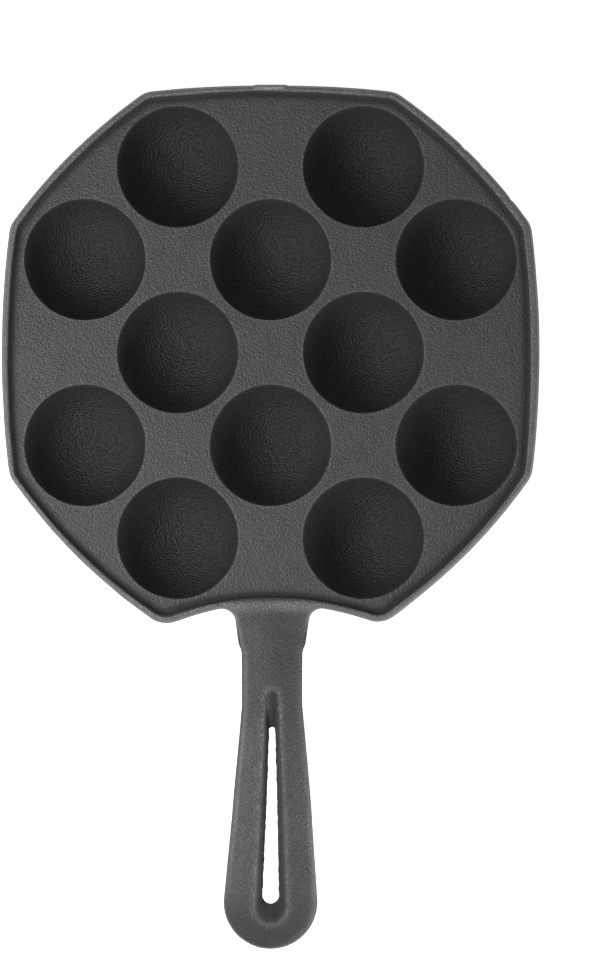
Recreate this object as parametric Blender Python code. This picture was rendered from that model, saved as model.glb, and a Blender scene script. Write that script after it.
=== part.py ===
"""A twelve-hole takoyaki pan: one iron casting with an eight-sided head and a slotted handle.

Metres, +Z up. The pan stands on the feet of its bowls at Z = 0, with its head towards +Y and its
handle towards -Y. The origin is on the ground, under the middle of the whole pan.
"""

import math

import bmesh
import bpy
import numpy as np

# The wells: rows of two and three in turn, each well staggered between its neighbours. The web is
# the iron between two mouths, and the band runs from the outermost bowls to the head's edge
WELL_ROWS = 5
WELL_RADIUS = 0.0202
WELL_DEPTH = 0.0180
WELL_WEB = 0.0034
MOUTH_CHAMFER = 0.0004
EDGE_BAND = 0.00353

# Iron walls. A bowl's wall is measured level with the plate's underside, where a fillet joins the
# two, and its foot is the flat that the pan stands on
PLATE_THICKNESS = 0.0035
BOWL_WALL = 0.0035
FOOT_WALL = 0.0030
FOOT_RADIUS = 0.0049
UNDER_FILLET = 0.0020
UNDER_FILLET_SINK = 0.0001

# The head's outline: its right-hand corners from top to bottom, and the swell of each side,
# all as shares of half the head's width. The last side is hollow, where the handle joins
CORNER_SHARES = ((0.465, 0.968), (0.968, 0.472), (0.971, -0.459), (0.405, -1.009))
SWELL_SHARES = (0.0256, 0.0316, 0.0305, 0.0388, -0.0746)
CORNER_RADIUS = 0.0090

# The raised rim round the plate
RIM_HEIGHT = 0.0024
RIM_WIDTH = 0.0015
RIM_INNER_LEAN = 0.0003
FLANK_DRAFT = 0.0008

# The handle, from the hollow side of the head to its round end. Its root reaches into the rim by
# the rounding of its edges and the sink
HANDLE_LENGTH = 0.1148
HANDLE_RISE = 0.0076
HANDLE_END_THICKNESS = 0.0090
HANDLE_EDGE_ROUND = 0.0015
HANDLE_TOP_STEP = 0.0002
BOSS_HALF_WIDTH = 0.0116
BOSS_LENGTH = 0.0124
SHOULDER_HALF_WIDTH = 0.0110
SHOULDER_LENGTH = 0.0033
NECK_HALF_WIDTH = 0.01005
NECK_LENGTH = 0.0337
GRIP_RADIUS = 0.0154
ROOT_FILLET = 0.0045
ROOT_SINK = 0.0003

# The slot through the handle: a tapered groove in each face, open to each other through a land.
# Each outline runs from a small circle near the head to a larger one near the handle's end
GROOVE_NEAR_RADIUS = 0.0023
GROOVE_FAR_RADIUS = 0.0057
GROOVE_NEAR_END = 0.0280
GROOVE_END_WALL = 0.0085
SLOT_NEAR_RADIUS = 0.00105
SLOT_FAR_RADIUS = 0.0028
SLOT_NEAR_END = 0.0406
SLOT_END_WALL = 0.0152
SLOT_LAND = 0.0008
CUT_OVERRUN = 0.0010
MERGE_DISTANCE = 0.000001

# How finely the curves are divided. The bowls of every other row are turned by part of a facet,
# so that the facets of two bowls never meet corner to corner
WELL_STEPS = 28
WELL_RINGS = 6
BOWL_STEPS = 24
BOWL_RINGS = 4
BOWL_TURN_SHARES = (0.1, 0.55)
FILLET_RINGS = 3
SIDE_STEPS = 8
CORNER_STEPS = 4
ROUND_STEPS = 2
HANDLE_ARC_STEPS = 8
SLOT_ARC_STEPS = 8

# Sizes that follow from those above
GRID_STEP = (2 * WELL_RADIUS + WELL_WEB) / math.sqrt(2)
WELL_SPHERE = (WELL_RADIUS**2 + WELL_DEPTH**2) / (2 * WELL_DEPTH)
SPHERE_CENTRE = FOOT_WALL + WELL_SPHERE
PLATE_TOP = FOOT_WALL + WELL_DEPTH
PLATE_UNDER = PLATE_TOP - PLATE_THICKNESS
RIM_TOP = PLATE_TOP + RIM_HEIGHT
RIM_ROUND = RIM_WIDTH / 4
RIM_FILLET = RIM_HEIGHT / 3

# A bowl's outer sphere, from its foot and its radius at the plate's underside, and where the
# fillet round it meets that underside
BOWL_AT_PLATE = math.sqrt(WELL_SPHERE**2 - (SPHERE_CENTRE - PLATE_UNDER) ** 2) + BOWL_WALL
BOWL_CENTRE = (BOWL_AT_PLATE**2 + PLATE_UNDER**2 - FOOT_RADIUS**2) / (2 * PLATE_UNDER)
BOWL_SPHERE = math.hypot(FOOT_RADIUS, BOWL_CENTRE)
FILLET_TOP = PLATE_UNDER + UNDER_FILLET_SINK
FILLET_ANGLE = math.acos((BOWL_CENTRE - FILLET_TOP + UNDER_FILLET) / (BOWL_SPHERE + UNDER_FILLET))
BOWL_REACH = (BOWL_SPHERE + UNDER_FILLET) * math.sin(FILLET_ANGLE)

# The head reaches past the outermost bowls, and the handle makes up the rest of the length
HEAD_HALF_WIDTH = WELL_ROWS // 2 * GRID_STEP + BOWL_REACH + EDGE_BAND
CROWN_Y = HEAD_HALF_WIDTH * (CORNER_SHARES[0][1] + SWELL_SHARES[0])
HOLLOW_Y = HEAD_HALF_WIDTH * (CORNER_SHARES[-1][1] - SWELL_SHARES[-1])
PAN_LENGTH = CROWN_Y - HOLLOW_Y + HANDLE_LENGTH
HEAD_CENTRE_Y = PAN_LENGTH / 2 - CROWN_Y


def clear_scene():
    for obj in list(bpy.data.objects):
        bpy.data.objects.remove(obj, do_unlink=True)


def unit(angles):
    """Unit vectors at these angles from +X."""
    return np.column_stack([np.cos(angles), np.sin(angles)])


def turn_between(first, last, steps):
    """Angles from one direction to another by the shorter way, both ends included."""
    start = math.atan2(first[1], first[0])
    sweep = math.atan2(last[1], last[0]) - start
    sweep = (sweep + math.pi) % (2 * math.pi) - math.pi
    return start + sweep * np.linspace(0, 1, steps + 1)


def side_circle(first, last, swell):
    """Centre and radius of the side between two corners. A hollow side has a negative radius."""
    chord = last - first
    length = np.hypot(*chord)
    outward = np.array([-chord[1], chord[0]]) / length
    radius = (length**2 / 4 + swell**2) / (2 * swell)
    return (first + last) / 2 + outward * (swell - radius), radius


def touching_circle(first, last, radius, corner):
    """Centre of the circle of this radius that rounds the corner between two side circles."""
    (centre_a, radius_a), (centre_b, radius_b) = first, last
    reach_a, reach_b = abs(radius_a - radius), abs(radius_b - radius)
    apart = centre_b - centre_a
    distance = np.hypot(*apart)
    along = (reach_a**2 - reach_b**2 + distance**2) / (2 * distance)
    across = math.sqrt(reach_a**2 - along**2)
    axis = apart / distance
    square = np.array([-axis[1], axis[0]])
    middle = centre_a + axis * along
    both = (middle + square * across, middle - square * across)
    return min(both, key=lambda point: np.hypot(*(point - corner)))


def head_sides():
    """The head's eight sharp corners, clockwise from the upper left, and the circle of each side."""
    right = HEAD_HALF_WIDTH * np.array(CORNER_SHARES)
    left = right[::-1] * (-1, 1)
    corners = np.vstack([left[-1:], right, left[:-1]])
    swells = HEAD_HALF_WIDTH * np.array(SWELL_SHARES + SWELL_SHARES[-2:0:-1])
    following = np.roll(corners, -1, axis=0)
    return corners, [side_circle(*ends) for ends in zip(corners, following, swells)]


def head_arcs():
    """The outline as arcs in order: (centre, signed radius, angles of the outward normals)."""
    corners, sides = head_sides()
    centres, arriving, leaving = [], [], []
    for index, corner in enumerate(corners):
        before, after = sides[index - 1], sides[index]
        centre = touching_circle(before, after, CORNER_RADIUS, corner)
        centres.append(centre)
        arriving.append((centre - before[0]) / (before[1] - CORNER_RADIUS))
        leaving.append((centre - after[0]) / (after[1] - CORNER_RADIUS))
    arcs = []
    for index, (centre, radius) in enumerate(sides):
        bend = turn_between(arriving[index], leaving[index], CORNER_STEPS)
        arcs.append((centres[index], CORNER_RADIUS, bend))
        reached = arriving[(index + 1) % len(sides)]
        arcs.append((centre, radius, turn_between(leaving[index], reached, SIDE_STEPS)))
    return arcs


def head_outline(arcs, inset):
    """The head's outline moved inwards: each arc keeps its centre and loses the inset in radius."""
    pieces = [centre + (radius - inset) * unit(angles[:-1]) for centre, radius, angles in arcs]
    return np.vstack(pieces) + (0, HEAD_CENTRE_Y)


def quarter_round(corner, radius, first, last):
    """Points of the rounding of a section's corner, from the first normal's angle to the last's."""
    angles = np.radians(np.linspace(first, last, ROUND_STEPS + 1))
    return np.array(corner) + radius * unit(angles)


def head_section():
    """The edge of the head cut across, as (inset from the outline, height), from below to the plate."""
    outer, inner = FLANK_DRAFT, FLANK_DRAFT + RIM_WIDTH
    foot = inner + RIM_INNER_LEAN
    low = quarter_round((RIM_ROUND, PLATE_UNDER + RIM_ROUND), RIM_ROUND, 270, 180)
    high = quarter_round((outer + RIM_ROUND, RIM_TOP - RIM_ROUND), RIM_ROUND, 180, 90)
    inside = quarter_round((inner - RIM_ROUND, RIM_TOP - RIM_ROUND), RIM_ROUND, 90, 0)
    hollow = quarter_round((foot + RIM_FILLET, PLATE_TOP + RIM_FILLET), RIM_FILLET, 180, 270)
    return np.vstack([low, high, inside, hollow])


def stacked_solid(name, loops):
    """A closed solid skinned over loops of equal counts, with its first and last loop as its ends.

    An end loop whose points all lie in one place becomes a pole.
    """
    shape = bmesh.new()
    rings = [[shape.verts.new(point) for point in loop] for loop in loops]
    for lower, upper in zip(rings, rings[1:]):
        for index in range(len(lower)):
            shape.faces.new((lower[index - 1], lower[index], upper[index], upper[index - 1]))
    shape.faces.new(rings[0])
    shape.faces.new(rings[-1])
    bmesh.ops.remove_doubles(shape, verts=shape.verts, dist=MERGE_DISTANCE)
    bmesh.ops.recalc_face_normals(shape, faces=shape.faces)
    mesh = bpy.data.meshes.new(name)
    shape.to_mesh(mesh)
    shape.free()
    mesh.shade_smooth()
    mesh.set_sharp_from_angle(angle=math.radians(35))
    solid = bpy.data.objects.new(name, mesh)
    bpy.context.scene.collection.objects.link(solid)
    return solid


def as_tool(obj, group):
    """Keeps a solid only for joining to the head or cutting it."""
    obj.hide_render = True
    obj.display_type = "WIRE"
    bpy.context.scene.collection.objects.unlink(obj)
    group.objects.link(obj)


def at_height(outline, height):
    """A flat outline as points in space, at one height or at a height for each point."""
    return np.column_stack([outline, np.broadcast_to(height, len(outline))])


def make_head(arcs):
    loops = [at_height(head_outline(arcs, inset), height) for inset, height in head_section()]
    return stacked_solid("pan", loops)


def well_places():
    """Centres of the twelve wells with their row numbers, row by row from the top."""
    places = []
    for row in range(WELL_ROWS):
        count = 2 + row % 2
        for column in range(count):
            across = (2 * column - count + 1) * GRID_STEP
            places.append((row, (across, HEAD_CENTRE_Y + (WELL_ROWS // 2 - row) * GRID_STEP)))
    return places


def turned(name, profile, place, steps, first_share=0.0):
    """A solid of revolution about an upright axis, from (radius, height) pairs.

    The first share turns it by that part of one step.
    """
    circle = unit((np.arange(steps) + first_share) * 2 * math.pi / steps)
    return stacked_solid(name, [at_height(place + radius * circle, z) for radius, z in profile])


def bowl_profile():
    """The outside of a bowl: a foot, a sphere round the well, and a fillet into the plate."""
    foot_angle = math.atan2(FOOT_RADIUS, BOWL_CENTRE)
    down = np.linspace(foot_angle, FILLET_ANGLE, BOWL_RINGS + 1)
    ball = np.column_stack([BOWL_SPHERE * np.sin(down), BOWL_CENTRE - BOWL_SPHERE * np.cos(down)])
    flare_angles = np.linspace(math.pi / 2 + FILLET_ANGLE, math.pi / 2, FILLET_RINGS + 1)[1:]
    flare = (BOWL_REACH, FILLET_TOP - UNDER_FILLET) + UNDER_FILLET * unit(flare_angles)
    inside_plate = (BOWL_REACH, PLATE_UNDER + PLATE_THICKNESS / 2)
    return np.vstack([ball, flare, inside_plate])


def well_profile():
    """The inside of a well: a cap of a sphere from its lowest point, with its mouth chamfered."""
    mouth_height = PLATE_TOP - MOUTH_CHAMFER
    mouth_angle = math.acos((SPHERE_CENTRE - mouth_height) / WELL_SPHERE)
    down = mouth_angle * np.linspace(0, 1, WELL_RINGS + 1)
    cap = np.column_stack([WELL_SPHERE * np.sin(down), SPHERE_CENTRE - WELL_SPHERE * np.cos(down)])
    above = cap[-1] + (MOUTH_CHAMFER + CUT_OVERRUN)
    return np.vstack([cap, above])


def handle_top(y):
    """Height of the handle's upper face, which climbs steadily from the rim."""
    along = np.clip((HEAD_CENTRE_Y + HOLLOW_Y - y) / HANDLE_LENGTH, 0, 1)
    return RIM_TOP - HANDLE_TOP_STEP + HANDLE_RISE * along


def handle_under(y):
    """Height of its lower face, which starts level with the plate's underside."""
    along = np.clip((HEAD_CENTRE_Y + HOLLOW_Y - y) / HANDLE_LENGTH, 0, 1)
    start = PLATE_UNDER + HANDLE_TOP_STEP
    end = RIM_TOP - HANDLE_TOP_STEP + HANDLE_RISE - HANDLE_END_THICKNESS
    return start + (end - start) * along


def handle_side(hollow):
    """The handle's right-hand edge, from the hollow side of the head to the middle of its end."""
    centre, radius = hollow
    reach = abs(radius) - ROOT_FILLET
    across = BOSS_HALF_WIDTH + ROOT_FILLET
    fillet_centre = np.array([across, centre[1] + math.sqrt(reach**2 - across**2)])
    fillet = fillet_centre - ROOT_FILLET * unit(
        turn_between(centre - fillet_centre, (1, 0), HANDLE_ARC_STEPS)
    )
    end_centre = np.array([0, HOLLOW_Y - HANDLE_LENGTH + GRIP_RADIUS])
    taper_run = np.hypot(NECK_HALF_WIDTH, HOLLOW_Y - NECK_LENGTH - end_centre[1])
    taper = math.acos(GRIP_RADIUS / taper_run) - math.atan2(
        HOLLOW_Y - NECK_LENGTH - end_centre[1], NECK_HALF_WIDTH
    )
    end = end_centre + GRIP_RADIUS * unit(np.linspace(-taper, -math.pi / 2, HANDLE_ARC_STEPS + 1))
    straight = [
        (SHOULDER_HALF_WIDTH, HOLLOW_Y - BOSS_LENGTH),
        (NECK_HALF_WIDTH, HOLLOW_Y - BOSS_LENGTH - SHOULDER_LENGTH),
        (NECK_HALF_WIDTH, HOLLOW_Y - NECK_LENGTH),
    ]
    return np.vstack([fillet, straight, end])


def handle_outline(hollow, inset):
    """The handle's outline moved inwards, with its root inside the rim at one depth for all."""
    side = handle_side(hollow)
    travel = np.gradient(side, axis=0)
    outward = np.column_stack([-travel[:, 1], travel[:, 0]]) / np.hypot(*travel.T)[:, None]
    centre, radius = hollow
    first = side[0] - centre
    outward[0] = -first / np.hypot(*first)
    outward[-1] = (0, -1)
    side = side - inset * outward
    root_turn = turn_between(first * (-1, 1), first, HANDLE_ARC_STEPS)
    root = centre + (abs(radius) + HANDLE_EDGE_ROUND + ROOT_SINK) * unit(root_turn)
    left = side[-2::-1] * (-1, 1)
    return np.vstack([root, side, left]) + (0, HEAD_CENTRE_Y)


def make_handle(hollow):
    loops = []
    angles = np.linspace(0, math.pi / 2, ROUND_STEPS + 1)
    insets = HANDLE_EDGE_ROUND * (1 - np.sin(angles))
    depths = HANDLE_EDGE_ROUND * (1 - np.cos(angles))
    for inset, depth in zip(insets, depths):
        outline = handle_outline(hollow, inset)
        loops.append(at_height(outline, handle_under(outline[:, 1]) + depth))
    for inset, depth in zip(insets[::-1], depths[::-1]):
        outline = handle_outline(hollow, inset)
        loops.append(at_height(outline, handle_top(outline[:, 1]) - depth))
    return stacked_solid("handle_body", loops)


def tapered_slot(near_radius, near_end, far_radius, end_wall):
    """Two circles on the handle's middle line, joined by the straight lines that touch both."""
    near = HOLLOW_Y - near_end - near_radius
    far = HOLLOW_Y - HANDLE_LENGTH + end_wall + far_radius
    lean = math.asin((far_radius - near_radius) / (near - far))
    near_arc = np.linspace(lean, math.pi - lean, SLOT_ARC_STEPS + 1)
    far_arc = np.linspace(math.pi - lean, 2 * math.pi + lean, SLOT_ARC_STEPS + 1)
    near_points = (0, HEAD_CENTRE_Y + near) + near_radius * unit(near_arc)
    far_points = (0, HEAD_CENTRE_Y + far) + far_radius * unit(far_arc)
    return np.vstack([near_points, far_points])


def make_slot():
    """The cutter for both grooves and the slot between them."""
    groove = tapered_slot(
        GROOVE_NEAR_RADIUS, GROOVE_NEAR_END, GROOVE_FAR_RADIUS, GROOVE_END_WALL
    )
    slot = tapered_slot(SLOT_NEAR_RADIUS, SLOT_NEAR_END, SLOT_FAR_RADIUS, SLOT_END_WALL)
    middle = (handle_top(slot[:, 1]) + handle_under(slot[:, 1])) / 2
    upper_land = at_height(slot, middle + SLOT_LAND / 2)
    lower_land = at_height(slot, middle - SLOT_LAND / 2)
    upper_face = at_height(groove, handle_top(groove[:, 1]))
    lower_face = at_height(groove, handle_under(groove[:, 1]))
    overrun = 2 * CUT_OVERRUN / HANDLE_END_THICKNESS
    above = upper_face + (upper_face - upper_land) * overrun
    below = lower_face + (lower_face - lower_land) * overrun
    return stacked_solid("slot_cutter", [below, lower_land, upper_land, above])


def iron():
    """Bare sand-cast iron, dark and dull."""
    material = bpy.data.materials.new("cast_iron")
    material.use_nodes = True
    shader = material.node_tree.nodes["Principled BSDF"]
    shader.inputs["Base Color"].default_value = (0.075, 0.075, 0.077, 1)
    shader.inputs["Metallic"].default_value = 0.3
    shader.inputs["Roughness"].default_value = 0.7
    return material


def boolean(target, name, operation, group):
    step = target.modifiers.new(name, "BOOLEAN")
    step.operation = operation
    step.operand_type = "COLLECTION"
    step.collection = group
    step.solver = "EXACT"


def tool_group(name):
    group = bpy.data.collections.new(name)
    bpy.context.scene.collection.children.link(group)
    return group


def build_pan():
    clear_scene()
    hollow = head_sides()[1][4]
    pan = make_head(head_arcs())
    joined, cut = tool_group("joined_solids"), tool_group("cut_spaces")
    for number, (row, place) in enumerate(well_places(), start=1):
        turn = BOWL_TURN_SHARES[row % 2]
        as_tool(turned(f"bowl_{number:02d}", bowl_profile(), place, BOWL_STEPS, turn), joined)
        as_tool(turned(f"well_{number:02d}", well_profile(), place, WELL_STEPS), cut)
    as_tool(make_handle(hollow), joined)
    as_tool(make_slot(), cut)
    boolean(pan, "bowls and handle", "UNION", joined)
    boolean(pan, "wells and slot", "DIFFERENCE", cut)
    pan.data.materials.append(iron())


build_pan()
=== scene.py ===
import math

import bmesh
import bpy
import numpy as np
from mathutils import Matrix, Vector, geometry


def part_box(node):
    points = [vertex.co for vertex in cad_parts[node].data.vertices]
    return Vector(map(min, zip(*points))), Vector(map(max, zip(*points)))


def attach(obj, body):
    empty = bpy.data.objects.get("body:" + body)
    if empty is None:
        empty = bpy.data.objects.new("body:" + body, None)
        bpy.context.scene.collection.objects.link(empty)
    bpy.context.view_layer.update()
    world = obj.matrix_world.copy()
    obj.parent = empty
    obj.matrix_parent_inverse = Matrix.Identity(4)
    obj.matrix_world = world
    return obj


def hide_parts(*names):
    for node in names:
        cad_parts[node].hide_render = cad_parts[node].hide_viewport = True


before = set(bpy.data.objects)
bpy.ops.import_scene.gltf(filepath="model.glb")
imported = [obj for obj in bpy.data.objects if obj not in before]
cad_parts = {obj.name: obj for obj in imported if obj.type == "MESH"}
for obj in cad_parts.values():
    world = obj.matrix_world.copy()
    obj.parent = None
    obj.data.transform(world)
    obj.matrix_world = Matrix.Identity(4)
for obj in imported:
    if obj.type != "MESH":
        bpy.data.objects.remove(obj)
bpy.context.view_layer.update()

# The outline of the pan: eight gently swelled sides with round corners, and the handle, which
# grows out of the hollow side nearest the user through two small fillets. It is the line where
# the two halves of the sand mould met, so it wanders a little and has a few nicks.
pan_low, pan_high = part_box("pan")
HEAD_HALF_WIDTH = pan_high[0]
CORNER_SHARES = ((0.465, 0.968), (0.968, 0.472), (0.971, -0.459), (0.405, -1.009))
SWELL_SHARES = (0.0256, 0.0316, 0.0305, 0.0388, -0.0746)
CORNER_RADIUS = 0.0090
ROOT_FILLET = 0.0045
BOSS_HALF_WIDTH = 0.0123
SHOULDER_HALF_WIDTH = 0.0114
SHOULDER_START = 0.0124
SHOULDER_END = 0.0162
NECK_HALF_WIDTH = 0.0103
NECK_END = 0.0337
GRIP_RADIUS = 0.0158
TAPER_SWELL = 0.00015
HANDLE_SWAY = 0.0005
CROWN_Y = pan_high[1]
HEAD_CENTRE_Y = CROWN_Y - HEAD_HALF_WIDTH * (CORNER_SHARES[0][1] + SWELL_SHARES[0])
HOLLOW_Y = HEAD_CENTRE_Y + HEAD_HALF_WIDTH * (CORNER_SHARES[-1][1] - SWELL_SHARES[-1])
HANDLE_END_Y = pan_low[1]
HANDLE_LENGTH = HOLLOW_Y - HANDLE_END_Y
EDGE_SPACING = 0.0010
FAR_OUT = 0.020
ARC_OVERLAP = 0.001


def unit(angles):
    """Unit vectors at these angles from +X."""
    return np.stack([np.cos(angles), np.sin(angles)], axis=-1)


def ease(share):
    """From 0 to 1 with level ends: three times the square less twice the cube."""
    share = np.clip(share, 0, 1)
    return share**2 * (3 - 2 * share)


def ramped(values, start, end):
    """The same ease as a value goes from start to end."""
    return ease((values - start) / (end - start))


def side_circle(first, last, swell):
    """Centre and radius of the arc over a chord; a hollow side gets a negative radius."""
    chord = last - first
    length = np.hypot(*chord)
    outward = np.array([-chord[1], chord[0]]) / length
    radius = (length**2 / 4 + swell**2) / (2 * swell)
    return (first + last) / 2 + outward * (swell - radius), radius


def corner_circle(first, last, radius, corner):
    """Centre of the circle that touches two sides from within: it lies where the circles about
    their centres, each smaller by its radius, cross nearest the corner."""
    (centre_a, radius_a), (centre_b, radius_b) = first, last
    reach_a, reach_b = abs(radius_a - radius), abs(radius_b - radius)
    apart = centre_b - centre_a
    distance = np.hypot(*apart)
    along = (reach_a**2 - reach_b**2 + distance**2) / (2 * distance)
    across = math.sqrt(reach_a**2 - along**2)
    axis = apart / distance
    square = np.array([-axis[1], axis[0]])
    both = [centre_a + axis * along + square * across * side for side in (1, -1)]
    return min(both, key=lambda point: np.hypot(*(point - corner)))


def heading(vector):
    """The angle of a vector from +X."""
    return math.atan2(vector[1], vector[0])


def head_edge_arcs():
    """The right half of the head's edge, from the crown to the middle of the hollow side.

    Each arc is (centre, signed radius, first and last angle of its outward normal).
    """
    corners = HEAD_HALF_WIDTH * np.array(CORNER_SHARES)
    ends = np.vstack([corners[:1] * (-1, 1), corners, corners[-1:] * (-1, 1)])
    swells = HEAD_HALF_WIDTH * np.array(SWELL_SHARES)
    sides = [side_circle(*three) for three in zip(ends, ends[1:], swells)]
    arcs, reached = [], math.pi / 2
    for before, after, corner in zip(sides, sides[1:], corners):
        centre = corner_circle(before, after, CORNER_RADIUS, corner)
        arriving = heading((centre - before[0]) / (before[1] - CORNER_RADIUS))
        leaving = heading((centre - after[0]) / (after[1] - CORNER_RADIUS))
        arcs.append((before[0], before[1], reached, arriving))
        arcs.append((centre, CORNER_RADIUS, arriving, leaving))
        reached = leaving
    arcs.append((sides[-1][0], sides[-1][1], reached, -math.pi / 2))
    shift = np.array([0, HEAD_CENTRE_Y])
    return [(centre + shift, radius, first, last) for centre, radius, first, last in arcs]


def arc_points(centre, radius, first, last, inset=0.0):
    """Points along an arc, about one spacing apart on the outline itself, moved inwards."""
    steps = math.ceil(abs((last - first) * radius) / EDGE_SPACING)
    angles = first + (last - first) * np.arange(steps) / steps
    return centre + (radius - inset) * unit(angles)


def straight_points(first, last):
    """Points along a straight line, about one spacing apart, without the last."""
    steps = math.ceil(np.hypot(*np.subtract(last, first)) / EDGE_SPACING)
    share = np.arange(steps)[:, None] / steps
    return np.array(first) * (1 - share) + np.array(last) * share


head_edge = head_edge_arcs()


def handle_edge(hollow):
    """The handle's right-hand edge: root fillet, boss easing into the neck, taper and round end."""
    centre, radius, first, last = hollow
    reach = abs(radius) - ROOT_FILLET
    across = BOSS_HALF_WIDTH + ROOT_FILLET
    root = np.array([across, centre[1] + math.sqrt(reach**2 - across**2)])
    touch = heading(centre - root)
    above = arc_points(centre, radius, first, touch)
    fillet = arc_points(root, -ROOT_FILLET, touch, 0.0)
    end = np.array([0, HANDLE_END_Y + GRIP_RADIUS])
    neck = np.array([NECK_HALF_WIDTH, HOLLOW_Y - NECK_END])
    run = np.hypot(*(neck - end))
    lean = heading(neck - end) - math.acos(GRIP_RADIUS / run)
    boss = straight_points((0, root[1]), (0, neck[1]))
    shoulder_y = HOLLOW_Y - SHOULDER_START
    narrowing = (root[1] - boss[:, 1]) / (root[1] - shoulder_y)
    boss[:, 0] = BOSS_HALF_WIDTH + (SHOULDER_HALF_WIDTH - BOSS_HALF_WIDTH) * np.clip(narrowing, 0, 1)
    step = ease((shoulder_y - boss[:, 1]) / (SHOULDER_END - SHOULDER_START))
    boss[:, 0] += (NECK_HALF_WIDTH - boss[:, 0]) * step
    taper = straight_points(neck, end + GRIP_RADIUS * unit(lean))
    taper[:, 0] += TAPER_SWELL * np.sin(np.linspace(0, math.pi, len(taper)))
    round_end = arc_points(end, GRIP_RADIUS, lean, -math.pi / 2)
    return np.vstack([above, fillet, boss, taper, round_end])


def ripple(points, wavelength, seed, count=16):
    """A gentle random wave between about -1 and 1: cosines of like lengths in random directions."""
    draw = np.random.default_rng(seed)
    pace = 2 * math.pi / (wavelength * draw.uniform(0.6, 1.6, count))
    directions = unit(draw.uniform(0, 2 * math.pi, count)) * pace[:, None]
    waves = np.cos(points @ directions.T + draw.uniform(0, 2 * math.pi, count))
    return waves.sum(axis=-1) / math.sqrt(2 * count)


EDGE_WANDER = 0.00012
LONG_WANDER, SHORT_WANDER = 0.040, 0.008
NICKS = ((0.0646, 0.1229), (0.0706, 0.1165), (0.0803, 0.1058), (-0.0786, 0.1062))
NICK_DEPTHS = (0.0004, 0.0005, 0.0003, 0.0003)
NICK_WIDTH = 0.0007
GATE_HALF_WIDTH = 0.0058
FULL_CORNERS = ((-0.036, -0.034), (0.036, -0.034))
FULLNESSES = (0.00075, 0.00030)
FULL_WIDTH = 0.017


def outline_of_pan():
    """The whole outline, clockwise from the crown, with the mould's wander and nicks inwards. The
    two corners beside the handle are a little fuller, the left one more."""
    half = np.vstack([arc_points(*arc) for arc in head_edge[:-1]] + [handle_edge(head_edge[-1])])
    whole = np.vstack([half, [(0, HANDLE_END_Y)], half[:0:-1] * (-1, 1)])
    travel = np.roll(whole, -1, axis=0) - np.roll(whole, 1, axis=0)
    inward = np.stack([travel[:, 1], -travel[:, 0]], axis=-1) / np.hypot(*travel.T)[:, None]
    depth = EDGE_WANDER * (1 + ripple(whole, LONG_WANDER, 1)) / 2
    depth += EDGE_WANDER / 3 * (1 + ripple(whole, SHORT_WANDER, 2)) / 2
    at_gate = (abs(whole[:, 0]) < GATE_HALF_WIDTH) & (whole[:, 1] > HEAD_CENTRE_Y)
    depth = np.where(at_gate, 0, depth + EDGE_WANDER)
    for place, deep in zip(NICKS, NICK_DEPTHS):
        depth += deep * np.exp(-(np.hypot(*(whole - place).T) / NICK_WIDTH) ** 2)
    depth = np.clip(depth, 0, None)
    for place, full in zip(FULL_CORNERS, FULLNESSES):
        depth -= full * np.exp(-(np.hypot(*(whole - place).T) / FULL_WIDTH) ** 2)
    return whole + inward * depth[:, None], inward


outline, outline_inward = outline_of_pan()


def distance_to_outline(points):
    """Shortest distance to the closed outline, taken over all of its short straight stretches."""
    start, along = outline, np.roll(outline, -1, axis=0) - outline
    square = (along**2).sum(axis=1)
    nearest = np.empty(len(points))
    for batch in np.array_split(np.arange(len(points)), 1 + len(points) // 3000):
        offset = points[batch, None] - start
        share = np.clip((offset * along).sum(axis=2) / square, 0, 1)
        nearest[batch] = np.hypot(*(offset - share[..., None] * along).transpose(2, 0, 1)).min(axis=1)
    return nearest


def head_inset(points):
    """How far a point lies inside the head's edge, and below zero outside it.

    For every arc it is the radius less the distance from the centre, for the points that lie in
    the arc's own spread of angles, and the smallest counts.
    """
    inset = np.full(len(points), FAR_OUT)
    for centre, radius, first, last in head_edge:
        side = np.sign(radius)
        across, along = abs(points[:, 0]) - centre[0], points[:, 1] - centre[1]
        angle = np.arctan2(side * along, side * across)
        off_middle = (angle - (first + last) / 2 + math.pi) % (2 * math.pi) - math.pi
        within = abs(off_middle) <= abs(last - first) / 2 + ARC_OVERLAP
        depth = radius - side * np.hypot(across, along)
        inset = np.where(within & (depth < inset), depth, inset)
    return np.where(points[:, 1] < HOLLOW_Y - FAR_OUT, -FAR_OUT, inset)


# The upper half of the casting, from the top of the sand mould: a flat plate in a low rim, twelve
# round wells with softened mouths, and the handle, whose top runs on level from the rim and
# then climbs. Its edges are well rounded, and a tapered groove leads down to the slot.
WELL_RADIUS = 0.0202
WELL_DEPTH = 0.0180
WELL_WEB = 0.0034
MOUTH_ROUND = 0.0005
MOUTH_ROWS = 6
FOOT_WALL = 0.0030
PLATE_THICKNESS = 0.0035
RIM_HEIGHT = 0.0024
HANDLE_RISE = 0.0076
HANDLE_END_THICKNESS = 0.0090
HANDLE_STEP = 0.0002
HANDLE_CROWN = 0.0028
CROWN_START_SHARE = 0.10
HANDLE_DROOP = 0.0016
DROOP_LENGTH = 0.0260
PARTING_LIFT = 0.0008
PARTING_RAMP = 0.0120
FLANK_BLEND = 0.045
GRID_STEP = (2 * WELL_RADIUS + WELL_WEB) / math.sqrt(2)
WELL_SPHERE = (WELL_RADIUS**2 + WELL_DEPTH**2) / (2 * WELL_DEPTH)
SPHERE_CENTRE = FOOT_WALL + WELL_SPHERE
PLATE_TOP = FOOT_WALL + WELL_DEPTH
PLATE_UNDER = PLATE_TOP - PLATE_THICKNESS
RIM_TOP = PLATE_TOP + RIM_HEIGHT
MOUTH_ANGLE = math.acos((SPHERE_CENTRE - PLATE_TOP + MOUTH_ROUND) / (WELL_SPHERE + MOUTH_ROUND))
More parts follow.
